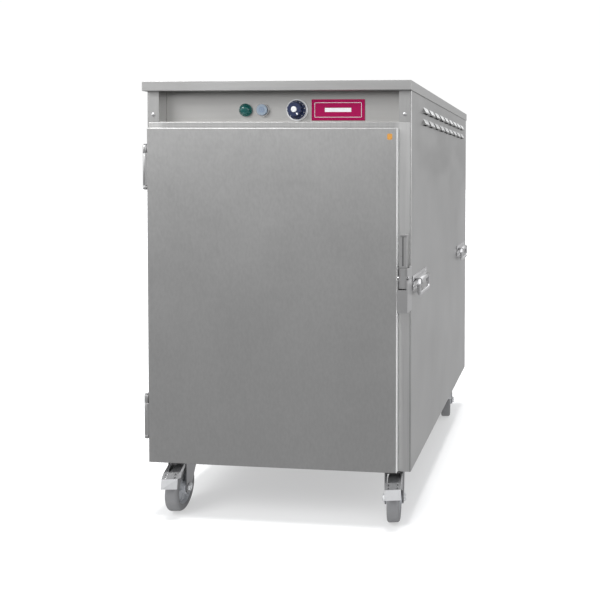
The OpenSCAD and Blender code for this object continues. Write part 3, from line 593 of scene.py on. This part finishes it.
def knob():
    """Dark knob: skirt with a ring of marks, fluted grip, silver cap."""
    lo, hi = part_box("thermostat_knob")
    x, z = (lo.x + hi.x) / 2, (lo.z + hi.z) / 2
    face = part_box("control_fascia")[0].y
    fascia = joints["thermostat_turn"]["pos_m"][1]
    place = about((x, fascia, z), FRONT)
    skirt = [(0, 3), (20, 3), (21, 3.8), (21, 5.6), (20.1, 6.8), (17.2, 7.4), (16.4, 7.4), (0, 7.4)]
    piece = Piece("knob_skirt").turned([(a * MM, b * MM) for a, b in skirt], place, 72)
    piece.done("navy", "knob", "black_plastic", replaces=["thermostat_knob"])
    steps, flutes = 144, 12
    grip = Piece("knob_grip")
    outline = []
    for i in range(steps):
        a = 2 * math.pi * i / steps
        dip = max(0.0, math.cos(flutes * a)) ** 2
        radius = (16 - 1.5 * dip) * MM
        outline.append((radius * math.cos(a), radius * math.sin(a)))
    grip.slab(outline, 12.4 * MM, place @ Matrix.Translation((0, 0, 7.4 * MM)))
    grip.done("navy", "knob", "black_plastic", edge=1.0, angle=50)
    cap = [(6.5, 19), (6.5, 20.4), (5.9, 21.2), (4.6, 21.4), (4.2, 21.1), (1.2, 21.1), (0, 21.1)]
    Piece("knob_cap").turned([(a * MM, b * MM) for a, b in cap], place, 48).done(
        "ring", "knob", "chrome_fittings"
    )
    marks = Piece("knob_marks")
    for i in range(11):
        turn = place @ Matrix.Rotation(math.radians(-135 + 27 * i), 4, "Z")
        marks.box((-0.35 * MM, 17.2 * MM, 6.7 * MM), (0.35 * MM, 19.8 * MM, 7.3 * MM), turn)
    marks.done("mark", "knob", "white_plastic")
    spot = place @ Matrix.Rotation(math.radians(215), 4, "Z")
    Piece("knob_pointer").slab(rounded_box(3 * MM, 5 * MM, 1.2 * MM), 0.3 * MM,
                               spot @ Matrix.Translation((0, 12.2 * MM, 19.75 * MM))).done(
        "mark", "knob", "white_plastic"
    )


knob()


def lamp():
    """A smooth dome in place of the lamp's lens."""
    lo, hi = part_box("pilot_lamp_lens")
    x, z = (lo.x + hi.x) / 2, (lo.z + hi.z) / 2
    place = about((x, hi.y, z), FRONT)
    dome = [(12.6, -0.2), (12.6, 1.6), (12.0, 3.6), (10.4, 5.8), (7.8, 7.8), (4.2, 9.1), (0, 9.5)]
    Piece("lamp_dome").turned([(a * MM, b * MM) for a, b in dome], place, 64).done(
        "green", "cabinet", "green_lens", angle=60, replaces=["pilot_lamp_lens"]
    )


lamp()


def button_symbol():
    """A plain ring with a bar, raised on the button's cap."""
    lo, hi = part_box("button_cap")
    x, z = (lo.x + hi.x) / 2, (lo.z + hi.z) / 2
    place = about((x, lo.y, z), FRONT)
    ring = [(4.4, -0.1), (4.4, 0.35), (5.8, 0.35), (5.8, -0.1)]
    piece = Piece("button_symbol").turned([(a * MM, b * MM) for a, b in ring + ring[:1]], place, 40)
    piece.box((-0.8 * MM, -2.6 * MM, -0.1 * MM), (0.8 * MM, 2.6 * MM, 0.35 * MM), place)
    piece.done("blue_mark", "button", "white_plastic")


button_symbol()


def plate_marks():
    """A fine white frame line and one blank white panel on the name plate."""
    lo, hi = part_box("name_plate")
    face = lo.y
    y = (face + 0.5 * MM, face + 0.65 * MM)
    width, height, line = hi.x - lo.x, hi.z - lo.z, 0.9 * MM
    piece = Piece("plate_marks")
    inset = 7 * MM
    x0, x1, z0, z1 = lo.x + inset, hi.x - inset, lo.z + inset, hi.z - inset
    face_y = (lo.y + 0.1 * MM, lo.y + 0.62 * MM)
    for a, b in (((x0, z0), (x1, z0 + line)), ((x0, z1 - line), (x1, z1)),
                 ((x0, z0), (x0 + line, z1)), ((x1 - line, z0), (x1, z1))):
        piece.box((a[0], face_y[0], a[1]), (b[0], face_y[1], b[1]))
    cx, cz = (lo.x + hi.x) / 2, (lo.z + hi.z) / 2
    piece.box((cx - 30 * MM, face_y[0], cz - 4.5 * MM), (cx + 30 * MM, face_y[1], cz + 4.5 * MM))
    piece.done("mark", "cabinet", "white_plastic")


plate_marks()


def label():
    """Small blank amber label near the door's upper corner."""
    lo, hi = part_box("door_outer_skin")
    place = about((hi.x - 16 * MM, lo.y + 0.02 * MM, hi.z - 19 * MM), FRONT)
    Piece("door_label").slab(rounded_box(11 * MM, 13 * MM, 3 * MM), 0.25 * MM, place).done(
        "amber", "door", "white_plastic"
    )


label()


# ---- screws ------------------------------------------------------------------------------------

def screws():
    """Domed heads on cheeks, hinges, handles and rear panel; hexagon heads on the casters."""
    source = nodes["screws"].data
    parts = loose_parts(source)
    heads, bolts = Piece("screw_heads"), Piece("caster_bolts")
    for lo, hi in parts:
        size = hi - lo
        middle = (lo + hi) / 2
        if abs(size.x - size.y) < 1e-4 and lo.z < 0.2 and size.x > 7 * MM:
            place = about((middle.x, middle.y, hi.z), (0, 0, -1))
            if size.x > 10 * MM:
                bolts.slab(hexagon(size.x), size.z, place)
            else:
                bolts.turned([(0, 0), (size.x / 2, 0), (size.x / 2, size.z), (0, size.z)], place, 24)
            continue
        if abs(size.y - size.z) < 1e-4:
            way = (-1, 0, 0) if middle.x < 0 else (1, 0, 0)
            r, h = size.y / 2, size.x
        else:
            way = (0, -1, 0) if middle.y < 0 else (0, 1, 0)
            r, h = size.x / 2, size.y
        back = middle - Vector(way) * h / 2
        place = about(back, way)
        profile = [(0, 0), (r, 0), (r, h * 0.3), (r * 0.86, h * 0.72), (r * 0.55, h * 0.95), (0, h)]
        heads.turned(profile, place, 28)
    heads.done("chrome", "cabinet", "stainless_fittings", replaces=["screws"])
    bolts.done("zinc", "cabinet", "zinc_steel", edge=0.5)


def loose_parts(mesh):
    """Lowest and highest corner of each separate solid of a mesh."""
    bm = bmesh.new()
    bm.from_mesh(mesh)
    bmesh.ops.remove_doubles(bm, verts=bm.verts, dist=1e-6)
    seen, out = set(), []
    for start in bm.verts:
        if start in seen:
            continue
        stack, lo, hi = [start], start.co.copy(), start.co.copy()
        seen.add(start)
        while stack:
            v = stack.pop()
            lo, hi = Vector(map(min, lo, v.co)), Vector(map(max, hi, v.co))
            for e in v.link_edges:
                w = e.other_vert(v)
                if w not in seen:
                    seen.add(w)
                    stack.append(w)
        out.append((lo, hi))
    bm.free()
    return out


screws()


# ---- floor, light, camera ----------------------------------------------------------------------

def floor():
    """White floor that keeps a soft grey shadow under the body; metals see a darker, uneven one."""
    mesh = bpy.data.meshes.new("floor")
    mesh.from_pydata([(-30, -30, 0), (30, -30, 0), (30, 30, 0), (-30, 30, 0)], [], [(0, 1, 2, 3)])
    o = bpy.data.objects.new("floor", mesh)
    bpy.context.scene.collection.objects.link(o)
    s = Shader("pale_floor")
    tone = s.spread(s.noise(3, detail=3), 0.02, 0.5)
    glow = 0.44
    s.set(Base_Color=s.tint((1.0, 1.0, 1.0), tone), Roughness=0.9, Specular_IOR_Level=0.0,
          Emission_Color=(1, 1, 1, 1), Emission_Strength=glow)
    s.bump((s.noise(400), 1e-5))
    split = s.add("ShaderNodeSeparateXYZ", Vector=s.place)
    back = s.add("ShaderNodeMapRange", {"interpolation_type": "SMOOTHSTEP"}, Value=split.outputs["Y"],
                 From_Min=-0.45, From_Max=0.1, To_Min=0.32, To_Max=0.50)
    seen = s.add("ShaderNodeLightPath")
    mirror = s.add("ShaderNodeEmission", Color=(1, 1, 1.01, 1), Strength=back.outputs[0])
    mix = s.add("ShaderNodeMixShader")
    s.tree.links.new(seen.outputs["Is Glossy Ray"], mix.inputs[0])
    s.tree.links.new(s.bsdf.outputs[0], mix.inputs[1])
    s.tree.links.new(mirror.outputs[0], mix.inputs[2])
    s.tree.links.new(mix.outputs[0], s.tree.nodes["Material Output"].inputs[0])
    mesh.materials.append(s.material)


def world():
    """White to the camera; metals see a soft studio, bright above, behind and at both sides."""
    w = bpy.data.worlds.new("studio")
    bpy.context.scene.world = w
    w.use_nodes = True
    tree = w.node_tree
    tree.nodes.clear()
    add, link = tree.nodes.new, tree.links.new
    direction = add("ShaderNodeTexCoord")
    split = add("ShaderNodeSeparateXYZ")
    link(direction.outputs["Generated"], split.inputs[0])

    def ranged(axis, start, end, low, high):
        node = add("ShaderNodeMapRange")
        node.interpolation_type = "SMOOTHSTEP"
        link(split.outputs[axis], node.inputs["Value"])
        for key, value in (("From Min", start), ("From Max", end), ("To Min", low), ("To Max", high)):
            node.inputs[key].default_value = value
        return node.outputs[0]

    def combined(operation, a, b):
        node = add("ShaderNodeMath")
        node.operation = operation
        link(a, node.inputs[0])
        link(b, node.inputs[1])
        return node.outputs[0]

    height = add("ShaderNodeValToRGB")
    ramp = height.color_ramp
    stops = ((0.0, 0.30), (0.46, 0.36), (0.52, 0.42), (0.60, 0.58), (0.75, 0.95), (1.0, 1.25))
    while len(ramp.elements) < len(stops):
        ramp.elements.new(0.5)
    for element, (position, value) in zip(ramp.elements, stops):
        element.position = position
        element.color = (value, value, value * 1.005, 1)
    shift = add("ShaderNodeMapRange")
    shift.inputs["From Min"].default_value = -1.0
    link(split.outputs["Z"], shift.inputs["Value"])
    link(shift.outputs[0], height.inputs[0])
    grey = add("ShaderNodeRGBToBW")
    link(height.outputs[0], grey.inputs[0])
    level = combined("MULTIPLY", grey.outputs[0], ranged("Y", 0.2, 0.9, 1.0, 1.22))
    front = ranged("Y", -0.35, -0.08, 1.0, 0.22)
    for start, end, low, high in ((0.55, 0.9, 0.0, 1.9), (-0.9, -0.55, 0.9, 0.0)):
        strip = combined("MULTIPLY", ranged("X", start, end, low, high), front)
        level = combined("ADD", level, strip)
    seen = add("ShaderNodeLightPath")
    mirror, diffuse, white = (add("ShaderNodeBackground") for _ in range(3))
    link(level, mirror.inputs[1])
    mirror.inputs[0].default_value = (1, 1, 1.005, 1)
    diffuse.inputs[0].default_value = (0.96, 0.98, 1.0, 1)
    diffuse.inputs[1].default_value = 0.95
    white.inputs[0].default_value = (1, 1, 1, 1)
    white.inputs[1].default_value = 1.02
    glossy, camera = add("ShaderNodeMixShader"), add("ShaderNodeMixShader")
    link(seen.outputs["Is Glossy Ray"], glossy.inputs[0])
    link(diffuse.outputs[0], glossy.inputs[1])
    link(mirror.outputs[0], glossy.inputs[2])
    link(seen.outputs["Is Camera Ray"], camera.inputs[0])
    link(glossy.outputs[0], camera.inputs[1])
    link(white.outputs[0], camera.inputs[2])
    link(camera.outputs[0], add("ShaderNodeOutputWorld").inputs[0])


def overhead():
    """Broad light from straight above, which puts the shadow under the body."""
    data = bpy.data.lights.new("overhead", "SUN")
    data.energy = 3.1
    data.angle = math.radians(15)
    o = bpy.data.objects.new("overhead", data)
    o.visible_glossy = False
    bpy.context.scene.collection.objects.link(o)


def lamp_panel(name, position, target, size, power):
    data = bpy.data.lights.new(name, "AREA")
    data.shape, data.size, data.size_y, data.energy = "RECTANGLE", size[0], size[1], power
    o = bpy.data.objects.new(name, data)
    bpy.context.scene.collection.objects.link(o)
    o.location = position
    o.rotation_euler = (Vector(target) - Vector(position)).to_track_quat("-Z", "Y").to_euler()


def camera():
    """Stands where the picture is taken from; its lens shift applies at that place only."""
    yaw, pitch, roll = math.radians(4.997), math.radians(-1.418), math.radians(0.358)
    ahead = Vector((-math.sin(yaw) * math.cos(pitch), math.cos(yaw) * math.cos(pitch), math.sin(pitch)))
    right = Vector((math.cos(yaw), math.sin(yaw), 0))
    up = right.cross(ahead)
    x = right * math.cos(roll) + up * math.sin(roll)
    y = up * math.cos(roll) - right * math.sin(roll)
    data = bpy.data.cameras.new("camera")
    o = bpy.data.objects.new("camera", data)
    bpy.context.scene.collection.objects.link(o)
    o.rotation_mode = "QUATERNION"
    o.rotation_quaternion = Matrix((x, y, -ahead)).transposed().to_quaternion()
    o.location = (0.6258, -1.8146, 0.7722)
    data.lens, data.sensor_width = 40.0, 36.0
    data.clip_start, data.clip_end = 0.01, 200
    for key, value in (("shift_x", -0.34145), ("shift_y", -0.18203)):
        driver = data.driver_add(key).driver
        driver.type = "SCRIPTED"
        place = driver.variables.new()
        place.name = "x"
        place.targets[0].id = o
        place.targets[0].data_path = "location.x"
        driver.expression = f"{value} if abs(x - {o.location.x:.4f}) < 0.0005 else 0.0"
    bpy.context.scene.camera = o


floor()
world()
lamp_panel("key", (-1.9, -2.4, 3.0), (0, -0.3, 0.4), (1.8, 1.8), 60)
overhead()
camera()
bpy.context.scene.view_settings.view_transform = "Standard"
